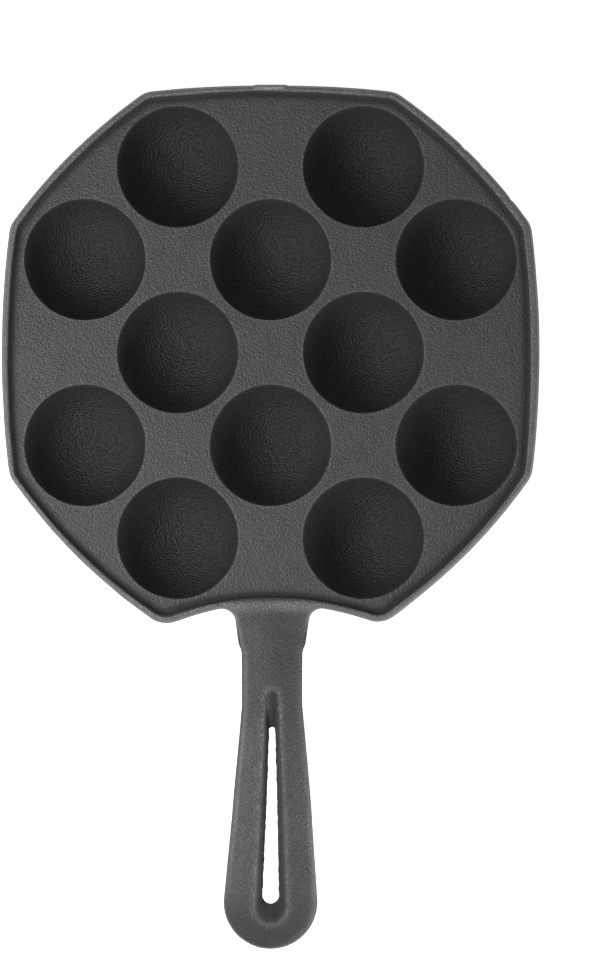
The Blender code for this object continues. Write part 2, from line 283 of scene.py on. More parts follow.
MOUTH_REACH = (WELL_SPHERE + MOUTH_ROUND) * math.sin(MOUTH_ANGLE)
WELL_ROW_SHARES = ((-1, 1), (-2, 0, 2), (-1, 1), (-2, 0, 2), (-1, 1))
wells = np.array([
    (share * GRID_STEP, HEAD_CENTRE_Y + (2 - row) * GRID_STEP)
    for row, shares in enumerate(WELL_ROW_SHARES) for share in shares
])


def softened(corners, cuts, steps=7):
    """A broken line whose inner corners are eased, each by a parabola between two points that
    lie a cut's length before and after it."""
    corners = np.array(corners)
    share = np.linspace(0, 1, steps)[:, None]
    line = [corners[:1]]
    for before, corner, after, cut in zip(corners, corners[1:], corners[2:], cuts):
        start = corner + (before - corner) * cut / np.hypot(*(before - corner))
        end = corner + (after - corner) * cut / np.hypot(*(after - corner))
        line.append((1 - share) ** 2 * start + 2 * share * (1 - share) * corner + share**2 * end)
    return np.vstack(line + [corners[-1:]])


def as_share(section):
    """A section's heights as shares of its last one."""
    return section / (1, section[-1, 1])


RIM_FLANK = 0.0008
RIM_INNER_EDGE = 0.0024
RIM_INNER_FOOT = 0.0031
RIM_INNER_WANDER = 0.00012
RIM_SIDE_ANGLES = np.radians((-90, -43, 0, 45, 90, 135, 180, 223))
RIM_SIDE_EXTRAS = (-0.00028, -0.00013, 0.00082, 0.00049, -0.00012, 0.00019, -0.00009, -0.00050)
HEAD_FLANK_RISE = RIM_TOP - PLATE_UNDER - PARTING_LIFT
HANDLE_EDGE_RISE = 0.0038
head_flank = as_share(softened(
    ((0, 0), (RIM_FLANK, HEAD_FLANK_RISE), (RIM_INNER_EDGE, HEAD_FLANK_RISE)), (0.0005,)
))
handle_flank = as_share(softened(
    ((0, 0), (0.0010, HANDLE_EDGE_RISE), (0.0050, HANDLE_EDGE_RISE)), (0.0018,)
))
rim_inside = softened((
    (0, RIM_TOP), (RIM_INNER_EDGE, RIM_TOP), (RIM_INNER_FOOT, PLATE_TOP), (FAR_OUT, PLATE_TOP),
), (0.0004, 0.0006))


def rim_inset(points):
    """Inset for the inside of the rim, which is a little wider or narrower on each of the eight
    sides: the extra width runs evenly from the middle of one side to the next, and it wanders."""
    direction = np.arctan2(points[:, 1] - HEAD_CENTRE_Y, points[:, 0])
    wider = np.interp(direction, RIM_SIDE_ANGLES, RIM_SIDE_EXTRAS, period=2 * math.pi)
    return head_inset(points) - wider + RIM_INNER_WANDER * ripple(points, 0.025, 5)


def handle_share(points):
    """How far along the handle a point lies, from 0 at the hollow side to 1 at its end."""
    return np.clip((HOLLOW_Y - points[:, 1]) / HANDLE_LENGTH, 0, 1)


def handle_line(points):
    """Height of the handle's upper face on its middle line: a steady climb, less a droop that
    grows as the square of the way into the last stretch."""
    droop = HANDLE_DROOP * np.clip(1 - (points[:, 1] - HANDLE_END_Y) / DROOP_LENGTH, 0, 1) ** 2
    return RIM_TOP - HANDLE_STEP + HANDLE_RISE * handle_share(points) - droop


def handle_top(points):
    """The same with its crown: it falls away to the sides by the square of the distance, taken
    as a share of the handle's half width there."""
    taper_length = HANDLE_LENGTH - NECK_END - GRIP_RADIUS
    grip_share = np.clip((HOLLOW_Y - NECK_END - points[:, 1]) / taper_length, 0, 1)
    half_width = NECK_HALF_WIDTH + (GRIP_RADIUS - NECK_HALF_WIDTH) * grip_share
    crown = HANDLE_CROWN * np.clip(abs(points[:, 0]) / half_width, 0, 1.2) ** 2
    return handle_line(points) - crown * ease(handle_share(points) / CROWN_START_SHARE)


def handle_under(points):
    """Height of the handle's underside, a steady climb like that of its top."""
    low = PLATE_UNDER + HANDLE_STEP
    rise = RIM_TOP - HANDLE_STEP + HANDLE_RISE - HANDLE_END_THICKNESS - low
    return low + rise * handle_share(points)


def parting_height(points, inset):
    """Height of the mould's parting line: near the head's lower edge, then up to mid-handle."""
    middle = (handle_line(points) + handle_under(points)) / 2
    return PLATE_UNDER + PARTING_LIFT + (middle - PLATE_UNDER - PARTING_LIFT) * ease(-inset / PARTING_RAMP)


GROOVE = {"near_radius": 0.0023, "near_end": 0.0280, "far_radius": 0.0057, "end_wall": 0.0085}
SLOT = {"near_radius": 0.00105, "near_end": 0.0406, "far_radius": 0.0028, "end_wall": 0.0152}
SLOT_LAND = 0.0008
RAMP_LIP = 0.0020
RAMP_LIP_SHARE = 0.3
END_WALL_REACH = 0.0006
FLASH_ROOT = 0.00012
FLASH_REACH = 0.0004
SAME_POINT = 1e-7


def slot_level(share):
    """Sizes of the tapered slot at a level, from 0 at the groove's edge to 1 at the slot."""
    near_radius, near_end, far_radius, end_wall = (
        GROOVE[key] + (SLOT[key] - GROOVE[key]) * share for key in GROOVE
    )
    near = HOLLOW_Y - near_end - near_radius
    far = HANDLE_END_Y + end_wall + far_radius
    return near, near_radius, far, far_radius


def outside_slot(points, share):
    """Distance outside the tapered slot at a level: to the nearer of its two circles, or to the
    line that touches both, by the usual formula for a capsule with unlike ends."""
    near, near_radius, far, far_radius = slot_level(share)
    length = near - far
    lean = (far_radius - near_radius) / length
    level = np.sqrt(1 - lean**2)
    across, along = abs(points[:, 0]), points[:, 1] - far
    turned = along * level - across * lean
    side = across * level + along * lean - far_radius
    by_far = np.hypot(across, along) - far_radius
    by_near = np.hypot(across, along - length) - near_radius
    return np.where(turned < 0, by_far, np.where(turned > length * level, by_near, side))


def groove_share(points):
    """The level at which a point lies on the groove's wall, found by halving the range."""
    low, high = np.zeros(len(points)), np.ones(len(points))
    for _ in range(18):
        middle = (low + high) / 2
        inside = outside_slot(points, middle) < 0
        low, high = np.where(inside, middle, low), np.where(inside, high, middle)
    return (low + high) / 2


def side_share(points):
    """The level of the groove's long side walls alone, as if they ran on towards the head."""
    stretched = np.column_stack([points[:, 0], np.minimum(points[:, 1], slot_level(1.0)[0])])
    return groove_share(stretched)


def well_distance(points):
    """Distance to the nearest well's middle, and to the second nearest."""
    apart = np.sort(np.hypot(*(points[:, None] - wells).transpose(2, 0, 1)), axis=1)
    return apart[:, 0], apart[:, 1]


def slot_wall(points, face, middle):
    """Depth of the groove from a face: straight walls from the groove's edge down to the land
    round the slot, then the land itself and the thin flash at mid-height. Near the head its
    floor is a ramp, which climbs to the face between the walls."""
    near, slot_near = slot_level(0.0)[0] + GROOVE["near_radius"] / 2, slot_level(1.0)[0] + SLOT["near_radius"]
    ramp = np.interp(near - points[:, 1], (0, RAMP_LIP, near - slot_near), (0, RAMP_LIP_SHARE, 1))
    share = np.minimum(side_share(points), ramp)
    share = np.where(outside_slot(points, 1.0) < END_WALL_REACH, groove_share(points), share)
    land = middle + np.sign(face - middle) * SLOT_LAND / 2
    wall = face + (land - face) * share
    out = outside_slot(points, 1.0)
    thickness = np.interp(out, (-FLASH_REACH, 0, FLASH_ROOT), (0, 0.25, 1.0))
    return np.where(out < FLASH_ROOT, middle + (wall - middle) * thickness, wall)


def on_flash(points):
    """Whether a point is one of those on the ragged edge of the slot."""
    close = np.flatnonzero(outside_slot(points, 1.0) < FLASH_ROOT)
    found = np.zeros(len(points), bool)
    apart = np.hypot(*(points[close, None] - flash).transpose(2, 0, 1))
    found[close] = (apart < SAME_POINT).any(axis=1)
    return found


FACE_WAVE = 0.00016
FACE_RIPPLE = 0.00005
FACE_SINK = 0.00012
ROOT_BLEND = 0.0015


def upper_height(points):
    """Height of the upper face over a point of the plan: the rim's section and the handle's top,
    with the wells and the groove cut in, all scaled down towards the parting line by the section
    of the outer flank."""
    inset, edge = head_inset(points), distance_to_outline(points)
    parting = parting_height(points, inset)
    on_handle = ease(-inset / FLANK_BLEND)
    waviness = FACE_WAVE * ripple(points, 0.045, 3) + FACE_RIPPLE * ripple(points, 0.009, 4)
    top = np.interp(rim_inset(points), *rim_inside.T)
    top = top + (handle_top(points) - top) * ease((ROOT_BLEND / 3 - inset) / ROOT_BLEND)
    top = top - FACE_SINK + np.minimum(waviness, FACE_SINK)
    radius = well_distance(points)[0]
    bowl = SPHERE_CENTRE - np.sqrt(np.clip(WELL_SPHERE**2 - radius**2, 0, None))
    lip = PLATE_TOP - MOUTH_ROUND + np.sqrt(np.clip(MOUTH_ROUND**2 - (MOUTH_REACH - radius) ** 2, 0, None))
    touching = WELL_SPHERE * math.sin(MOUTH_ANGLE)
    top = np.where(radius < touching, bowl, np.where(radius < MOUTH_REACH, np.minimum(top, lip), top))
    in_groove = outside_slot(points, 0.0) < 0
    top = np.where(in_groove, slot_wall(points, handle_top(points), parting), top)
    share = np.interp(edge, *head_flank.T) * (1 - on_handle) + np.interp(edge, *handle_flank.T) * on_handle
    height = parting + (top - parting) * share
    return np.where((edge < SAME_POINT) | on_flash(points), parting, height)


GRIP_START_SHARES = (0.28, 0.45)
GRIP_END_SHARES = (0.70, 0.95)
RIDGE_START = 0.0007
RIDGE_FADE = 0.0006
SIDE_LINE = 0.0009
SIDE_LINE_SHIFT = 0.0010
SIDE_LINE_WIDTH = 0.0007
SIDE_LINE_END_SHARES = (0.68, 0.93)
MIDDLE_BAND = 0.008
LIP_WIDTH = 0.0011
MOUTH_LINE_WIDTH = 0.0003
CREASE_FLAT = 0.0007
CREASE_FADE = 0.0012
WALL_FADE = 0.0008
FLANK_SHADE = 0.0009
SCAR_HALF_LENGTH = 0.0049
SCAR_SHIFT = 0.0004
SCAR_INSET = 0.0013
SCAR_FADE = 0.0005


def upper_marks(points):
    """Masks over the upper face. Wear and painted highlight: the rim's ridge, the wells' mouths,
    thinly the grip, and the edges of the handle and its groove. Well tint: the wells, darker.
    Painted shade: the rim's outer flank, the crease inside it, the groove, and thinly the neck and
    the end of the handle. Ground: the scar on the crown's rim, where the gate was cut off."""
    inset, edge = rim_inset(points), distance_to_outline(points)
    root, along = -head_inset(points), handle_share(points)
    on_handle = ease((root - ROOT_BLEND / 3) / (2 * ROOT_BLEND))
    grip = ramped(along, *GRIP_START_SHARES) * (1 - ramped(along, *GRIP_END_SHARES))
    # Painted highlight on the rim's ridge, partly its real wear.
    ridge = 1 - ramped(inset, RIM_INNER_EDGE - RIDGE_FADE / 3, RIM_INNER_EDGE + RIDGE_FADE * 2 / 3)
    ridge = ridge * (0.4 + 0.6 * ease((edge - RIDGE_START) / RIDGE_FADE)) * (1 - on_handle)
    # Painted highlight along the handle's edges, strongest on the left near the head and on the right near
    # the end, where the lamps fall.
    line = SIDE_LINE + SIDE_LINE_SHIFT * ease(root / FLANK_BLEND)
    side = np.exp(-(((edge - line) / SIDE_LINE_WIDTH) ** 2))
    left_edge_highlight, right_edge_highlight = 0.8 * (1 - ramped(along, *SIDE_LINE_END_SHARES)), 0.1 + 0.4 * along
    side = side * (left_edge_highlight + (right_edge_highlight - left_edge_highlight) * ease(0.5 + points[:, 0] / MIDDLE_BAND))
    # Painted highlight on the edges of the groove.
    lip = np.exp(-((outside_slot(points, 0.0) / LIP_WIDTH) ** 2))
    well = well_distance(points)[0]
    # Painted highlight round the wells' mouths.
    mouth = 0.2 * np.exp(-(((well - MOUTH_REACH + MOUTH_LINE_WIDTH / 3) / MOUTH_LINE_WIDTH) ** 2))
    # The grip is lightened thinly, partly wear and partly painted highlight.
    handle_wear_and_highlight = np.maximum(np.maximum(side, 0.8 * lip), 0.08 * grip)
    wear_and_highlight = np.maximum(np.maximum(ridge, mouth), on_handle * handle_wear_and_highlight)
    # The wells get a darker colour and a higher roughness.
    in_well = ease((MOUTH_REACH - WALL_FADE / 2 - well) / WALL_FADE)
    # Painted shade: the crease inside the rim is darkened where the rim's shadow and the corner's shade fall.
    foot = inset - RIM_INNER_FOOT
    fading = np.exp(-(((foot.clip(CREASE_FLAT) - CREASE_FLAT) / CREASE_FADE) ** 2))
    crease = np.where(foot < 0, ease(1 + foot / RIDGE_FADE), fading) * (1 - on_handle)
    # Painted shade in the groove, stronger on its right wall, which the lamp lights.
    groove = ease(-outside_slot(points, 0.0) / WALL_FADE) * np.where(points[:, 0] < 0, 0.6, 0.9)
    # Painted shade on the rim's outer flank.
    flank = 0.9 * (1 - ease(edge / FLANK_SHADE)) * (1 - on_handle)
    # Painted shade on the handle's neck and end.
    neck_and_end = on_handle * (0.15 * (1 - grip) + 0.30 * ramped(along, 0.80, 0.95))
    shade_mask = np.maximum(np.maximum(crease, groove), np.maximum(flank, neck_and_end))
    ragged = SCAR_INSET + 0.0002 * ripple(points, 0.003, 8)
    scar = ease((SCAR_HALF_LENGTH - abs(points[:, 0] + SCAR_SHIFT)) / SCAR_FADE)
    scar = scar * (points[:, 1] > HEAD_CENTRE_Y) * ease(1 - abs(edge - ragged) / SCAR_FADE)
    return wear_and_highlight, in_well, shade_mask, scar


def ring(centre, radius, steps):
    """Points evenly round a circle."""
    return centre + radius * unit(2 * math.pi * np.arange(steps) / steps)


def edge_rows(insets):
    """The pan's outline moved inwards, with what has crossed over left out."""
    rows = [outline + inset * outline_inward for inset in insets]
    return np.vstack([row[distance_to_outline(row) > inset * 0.96] for row, inset in zip(rows, insets)])


def head_rows(insets):
    """The head's edge moved inwards, both halves, right across the root of the handle."""
    halves = [np.vstack([arc_points(*arc, inset) for arc in head_edge]) for inset in insets]
    half = np.vstack(halves)
    return np.vstack([half, half[half[:, 0] > EDGE_SPACING / 3] * (-1, 1)])


def slot_outline(share):
    """Points round the tapered slot at a level: near arc, left side, far arc, right side."""
    near, near_radius, far, far_radius = slot_level(share)
    lean = math.asin((far_radius - near_radius) / (near - far))
    near_arc = (0, near) + near_radius * unit(np.linspace(lean, math.pi - lean, 13))
    far_arc = (0, far) + far_radius * unit(np.linspace(math.pi - lean, 2 * math.pi + lean, 25))
    run = np.linspace(0, 1, 61)[1:-1, None]
    left = near_arc[-1] + (far_arc[0] - near_arc[-1]) * run
    right = far_arc[-1] + (near_arc[0] - far_arc[-1]) * run
    return np.vstack([near_arc, left, far_arc, right])


def flash_outline():
    """The ragged edge of the flash, which reaches a little into the slot."""
    edge = slot_outline(1.0)
    far, near = slot_level(1.0)[0], slot_level(1.0)[2]
    middle = np.column_stack([np.zeros(len(edge)), np.clip(edge[:, 1], near, far)])
    reach = 0.00005 + 0.00016 * np.clip(ripple(edge, 0.0028, 6) + 0.4, 0, 1.6)
    towards = middle - edge
    return edge + towards / np.hypot(*towards.T)[:, None] * reach[:, None]


flash = flash_outline()


def honeycomb(spacing):
    """Points over the whole plan in staggered rows."""
    across = np.arange(pan_low[0], pan_high[0], spacing)
    along = np.arange(pan_low[1], pan_high[1], spacing * math.sqrt(3) / 2)
    x, y = np.meshgrid(across, along)
    x = x + (np.arange(len(along)) % 2)[:, None] * spacing / 2
    return np.column_stack([x.ravel(), y.ravel()])


def plan_mesh(points):
    """Triangles over the plan: the points joined by the Delaunay rule inside the pan's outline,
    with the triangles that span the slot taken out. Gives flat points and corner numbers."""
    count, hole = len(outline), len(flash)
    loops = [(i, (i + 1) % count) for i in range(count)]
    loops += [(count + i, count + (i + 1) % hole) for i in range(hole)]
    scaled = (np.vstack([outline, flash, points]) * 1000).tolist()
    flat, _, faces, *_ = geometry.delaunay_2d_cdt([Vector(p) for p in scaled], loops, [], 1, 1e-5, False)
    flat, faces = np.array([tuple(p) for p in flat]) / 1000, np.array(faces)
    kept = np.ones(len(faces), bool)
    edge_only = (faces < count + hole).all(axis=1)
    kept[edge_only] = on_iron(flat[faces[edge_only]].mean(axis=1))
    return flat, faces[kept]


def on_iron(points):
    """Whether a point of the plan lies on the pan: a ray from it along +X crosses the outline and
    the ragged loop an odd number of times in all."""
    crossings = np.zeros(len(points), int)
    for loop in (outline, flash):
        first, last = loop, np.roll(loop, -1, axis=0)
        x, y = points[:, 0, None], points[:, 1, None]
        spans = (first[:, 1] > y) != (last[:, 1] > y)
        fall = np.where(last[:, 1] == first[:, 1], 1, last[:, 1] - first[:, 1])
        across = first[:, 0] + (y - first[:, 1]) * (last[:, 0] - first[:, 0]) / fall
        crossings += (spans & (x < across)).sum(axis=1)
    return crossings % 2 == 1


def groove_ramp():
    """A close grid over the near end of the groove, where its floor climbs between its walls."""
    near = slot_level(0.0)[0] + GROOVE["near_radius"]
    slot_near = slot_level(1.0)[0] + SLOT["near_radius"]
    x, y = np.meshgrid(np.linspace(-0.0024, 0.0024, 33), np.arange(slot_near + 0.0003, near, 0.0004))
    grid = np.column_stack([x.ravel(), y.ravel()])
    return grid[outside_slot(grid, 0.0) < 0.0002]


FLANK_INSETS = (0.00006, 0.00025, 0.0005, 0.00075, 0.0009, 0.00105, 0.00125, 0.0016, 0.0020)
RIM_INSETS = (0.0023, 0.0025, 0.0027, 0.00285, 0.0030, 0.0032, 0.0035, 0.0038, 0.0042, 0.0047, 0.0052)
HANDLE_INSETS = (0.0024, 0.0029)
HANDLE_START = 0.001
HANDLE_MARGIN = 0.0036
HEAD_MARGIN = 0.0026
GROOVE_MARGIN = 0.0006
GROOVE_LEVELS = (0, 0.03, 0.12, 0.25, 0.4, 0.55, 0.7, 0.82, 0.91, 0.97, 1.0)
UPPER_SPACING = 0.0015


def handle_rows():
    """The outline moved further inwards, on the handle alone."""
    rows = edge_rows(HANDLE_INSETS)
    return rows[head_inset(rows) < -HANDLE_START]


def groove_rows():
    """The tapered slot's outline at all its levels, with the ramp's grid."""
    return np.vstack([slot_outline(share) for share in GROOVE_LEVELS] + [groove_ramp()])


def off_the_edge(points):
    """Leaves out what lies too near the outline, where the rows are."""
    margin = np.where(head_inset(points) < -HANDLE_START, HANDLE_MARGIN, HEAD_MARGIN)
    return points[distance_to_outline(points) > margin]


def upper_plan():
    """Where the upper face has its points: rows along the edges, rings round the wells and the
    slot, and a honeycomb in between."""
    rows, rim = edge_rows(FLANK_INSETS), head_rows(RIM_INSETS)
    rim = rim[well_distance(rim)[0] > MOUTH_REACH + 0.0003]
    angles = np.linspace(0, MOUTH_ANGLE, 25)[1:]
    steps = np.where(angles < 0.25, 24, np.where(angles < 0.7, 48, 96))
    turns = np.linspace(math.pi / 2 - MOUTH_ANGLE, math.pi / 2, MOUTH_ROWS)[1:]
    lips = MOUTH_REACH - MOUTH_ROUND * np.cos(turns)
    rounds = []
    for well in wells:
        rounds.append(well[None])
        rounds += [ring(well, WELL_SPHERE * math.sin(a), n) for a, n in zip(angles, steps)]
        rounds += [ring(well, radius, 96) for radius in lips]
        rounds.append(ring(well, MOUTH_REACH + 0.0006, 96))
    rounds = np.vstack(rounds)
    radius, other = well_distance(rounds)
    apart = (head_inset(rounds) > 0.0056) & (other - radius > 0.0005)
    rounds = rounds[(radius < MOUTH_REACH + 0.0001) | apart]
    fill = honeycomb(UPPER_SPACING)
    inset = head_inset(fill)
    level = (inset > 0.0058) | (inset < 0.0018)
    clear = (outside_slot(fill, 0.0) > GROOVE_MARGIN) & (well_distance(fill)[0] > MOUTH_REACH + 0.0012)
    fill = off_the_edge(fill[level & clear])
    return np.vstack([rows, rim, handle_rows(), rounds, groove_rows(), inside_outline(fill)])


def inside_outline(points):
    """Leaves out the points beyond the pan: outside the head, and wider than the handle."""
    inset = head_inset(points)
    right_half = outline[: len(outline) // 2]
    half_width = np.interp(-points[:, 1], -right_half[:, 1], right_half[:, 0])
    on_handle = (points[:, 1] < HOLLOW_Y + HANDLE_START) & (abs(points[:, 0]) < half_width)
    return points[(inset > 0) | on_handle]


upper_flat, upper_faces = plan_mesh(upper_plan())
upper = np.column_stack([upper_flat, upper_height(upper_flat)])
marks = dict(zip(("wear_and_highlight", "well_tint", "painted_shade", "ground"), upper_marks(upper_flat)))

# The lower half of the casting, from the foot of the mould: the flat underside of the plate with twelve bowls
# that run into each other, a small flat foot on each, and the handle's underside, which has the
# same groove as its top. The pan stands on the feet.
BOWL_WALL = 0.0035
FOOT_RADIUS = 0.0049
BOWL_AT_PLATE = math.sqrt(WELL_SPHERE**2 - (SPHERE_CENTRE - PLATE_UNDER) ** 2) + BOWL_WALL
BOWL_CENTRE = (BOWL_AT_PLATE**2 + PLATE_UNDER**2 - FOOT_RADIUS**2) / (2 * PLATE_UNDER)
BOWL_SPHERE = math.hypot(FOOT_RADIUS, BOWL_CENTRE)
VALLEY_ROUND = 0.0030
FOOT_ROUND = 0.0003
UNDER_WAVE = 0.00008
LOWER_SPACING = 0.0018
UNDER_INSETS = (0.00006, 0.00018, 0.0003, 0.00045, 0.0007, 0.0012, 0.0019)
under_flank = as_share(softened(
    ((0, 0), (0.0003, PARTING_LIFT), (0.0030, PARTING_LIFT)), (0.0004,)
))


def soft_min(first, second, reach):
    """The lower of two heights, eased where they differ by less than the reach."""
    overlap = np.clip(reach - abs(first - second), 0, None)
    return np.minimum(first, second) - overlap**2 / (4 * reach)


def lower_height(points):
    """Height of the lower face over a point of the plan: the plate's and the handle's underside
    and the bowls, each eased into the next where it is lower, then cut off level at the feet."""
    inset, edge = head_inset(points), distance_to_outline(points)
    parting = parting_height(points, inset)
    on_handle = ease(-inset / 0.006)
    plate = PLATE_UNDER + UNDER_WAVE * ripple(points, 0.04, 7)
    base = plate + (handle_under(points) - plate) * ease((ROOT_BLEND / 3 - inset) / ROOT_BLEND)
    radii = well_distance(points)
    nearest, next_one = (
        BOWL_CENTRE - np.sqrt(np.clip(BOWL_SPHERE**2 - radius**2, 0, None)) for radius in radii
    )
    bowls = soft_min(nearest, next_one, VALLEY_ROUND)
    base = soft_min(base, bowls, VALLEY_ROUND)
    base = -soft_min(-base, np.zeros(len(base)), FOOT_ROUND)
    in_groove = outside_slot(points, 0.0) < 0
    base = np.where(in_groove, slot_wall(points, handle_under(points), parting), base)
    share = np.interp(edge, *under_flank.T) * (1 - on_handle) + np.interp(edge, *handle_flank.T) * on_handle
    height = parting + (base - parting) * share
    return np.where((edge < SAME_POINT) | on_flash(points), parting, height)


def lower_plan():
    """Where the lower face has its points, laid out like the upper face's."""
    angles = np.linspace(0, 1.33, 22)[1:]
    steps = np.where(angles < 0.25, 20, np.where(angles < 0.6, 40, 80))
    rounds = []
    for well in wells:
        rounds.append(well[None])
        rounds += [ring(well, BOWL_SPHERE * math.sin(a), n) for a, n in zip(angles, steps)]
        rounds.append(ring(well, BOWL_SPHERE + 0.0004, 80))
    rounds = np.vstack(rounds)
    radius, other = well_distance(rounds)
    rounds = rounds[other - radius > 0.0004]
    rounds = rounds[head_inset(rounds) > RIM_INNER_EDGE]
    fill = honeycomb(LOWER_SPACING)
    clear = (outside_slot(fill, 0.0) > GROOVE_MARGIN) & (well_distance(fill)[0] > BOWL_SPHERE + 0.0014)
    fill = off_the_edge(inside_outline(fill[clear]))
    return np.vstack([edge_rows(UNDER_INSETS), handle_rows(), rounds, groove_rows(), fill])


lower_flat, lower_faces = plan_mesh(lower_plan())
lower = np.column_stack([lower_flat, lower_height(lower_flat)])

# The casting as one closed skin of bare grey iron, joined at the parting line and round the slot.
# It is left as it came from the sand, dull and dark, with a fine even grain.


def swayed(points):
    """The finished points with the handle's neck moved a little to the right: the move eases in
    from the root of the handle and out again towards its end."""
    below_root = HOLLOW_Y + 0.004 - points[:, 1]
    sway = HANDLE_SWAY * ease(below_root / 0.009) * ease((0.92 - handle_share(points)) / 0.42)
    return points + sway[:, None] * (1, 0, 0)


def iron_skin():
    """Both halves in one mesh, with the points that they share at the parting line merged."""
    mesh = bpy.data.meshes.new("pan_iron")
    points = swayed(np.vstack([upper, lower]))
    faces = np.vstack([upper_faces, lower_faces[:, ::-1] + len(upper)])
    mesh.from_pydata(points.tolist(), [], faces.tolist())
    for name, mask in marks.items():
        whole = np.concatenate([mask, np.zeros(len(lower))])
        mesh.attributes.new(name, "FLOAT", "POINT").data.foreach_set("value", whole)
    shape = bmesh.new()
    shape.from_mesh(mesh)
    bmesh.ops.remove_doubles(shape, verts=shape.verts, dist=2e-7)
    bmesh.ops.recalc_face_normals(shape, faces=shape.faces)
    shape.to_mesh(mesh)
    shape.free()
    mesh.shade_smooth()
    mesh.set_sharp_from_angle(angle=math.radians(50))
    skin = bpy.data.objects.new("pan_iron", mesh)
    bpy.context.scene.collection.objects.link(skin)
    return skin


TONE_SCALE = 90
SPECK_FINENESS = 1.5


def sand_grain_group():
    """Sand grain. Height is a fine noise less the distance to the nearest of scattered grains,
    Speck is a finer noise for light and dark grains, and Tone a coarse one for uneven iron."""
    group = bpy.data.node_groups.new("sand_grain", "ShaderNodeTree")
    face = group.interface
    face.new_socket("Grain size", in_out="INPUT", socket_type="NodeSocketFloat")
    face.new_socket("Height", in_out="OUTPUT", socket_type="NodeSocketFloat")
    face.new_socket("Tone", in_out="OUTPUT", socket_type="NodeSocketFloat")
    face.new_socket("Speck", in_out="OUTPUT", socket_type="NodeSocketFloat")
    nodes, links = group.nodes, group.links
    ends = nodes.new("NodeGroupInput"), nodes.new("NodeGroupOutput")
    place = nodes.new("ShaderNodeTexCoord")
    per_metre = nodes.new("ShaderNodeMath")
    per_metre.operation = "DIVIDE"
    per_metre.inputs[0].default_value = 1
    links.new(ends[0].outputs["Grain size"], per_metre.inputs[1])
    fine, coarse = nodes.new("ShaderNodeTexNoise"), nodes.new("ShaderNodeTexNoise")
    for noise in (fine, coarse):
        links.new(place.outputs["Object"], noise.inputs["Vector"])
    links.new(per_metre.outputs[0], fine.inputs["Scale"])
    fine.inputs["Detail"].default_value = 2
    fine.inputs["Roughness"].default_value = 0.6
    coarse.inputs["Scale"].default_value = TONE_SCALE
    coarse.inputs["Detail"].default_value = 5
    coarse.inputs["Roughness"].default_value = 0.65
    speck = nodes.new("ShaderNodeTexNoise")
    links.new(place.outputs["Object"], speck.inputs["Vector"])
    finer = nodes.new("ShaderNodeMath")
    finer.operation = "MULTIPLY"
    finer.inputs[1].default_value = SPECK_FINENESS
    links.new(per_metre.outputs[0], finer.inputs[0])
    links.new(finer.outputs[0], speck.inputs["Scale"])
    speck.inputs["Detail"].default_value = 1
    speck.inputs["Distortion"].default_value = 0.5
    links.new(speck.outputs["Fac"], ends[1].inputs["Speck"])
    grains = nodes.new("ShaderNodeTexVoronoi")
    links.new(place.outputs["Object"], grains.inputs["Vector"])
    links.new(per_metre.outputs[0], grains.inputs["Scale"])
    packed = nodes.new("ShaderNodeMath")
    packed.operation = "SUBTRACT"
    links.new(fine.outputs["Fac"], packed.inputs[0])
    links.new(grains.outputs["Distance"], packed.inputs[1])
    links.new(packed.outputs[0], ends[1].inputs["Height"])
    links.new(coarse.outputs["Fac"], ends[1].inputs["Tone"])
    return group


GRAIN_SIZE = 0.00065
GRAIN_DEPTH = 0.0002
WELL_GRAIN = 2.2
DARK_IRON, LIGHT_IRON = (0.040, 0.040, 0.041, 1), (0.055, 0.055, 0.056, 1)
SPECK_RANGE = (0.65, 1.35)
ROUGHNESS_RANGE = (0.48, 0.60)
# For each mask: the factor on the iron's colour, and the roughness there. The painted shade darkens the
# colour and the painted highlight brightens it.
IRON_MARKS = {"well_tint": (0.45, 0.64), "painted_shade": (0.45, 0.85), "wear_and_highlight": (2.6, 0.50), "ground": (3.6, 0.45)}


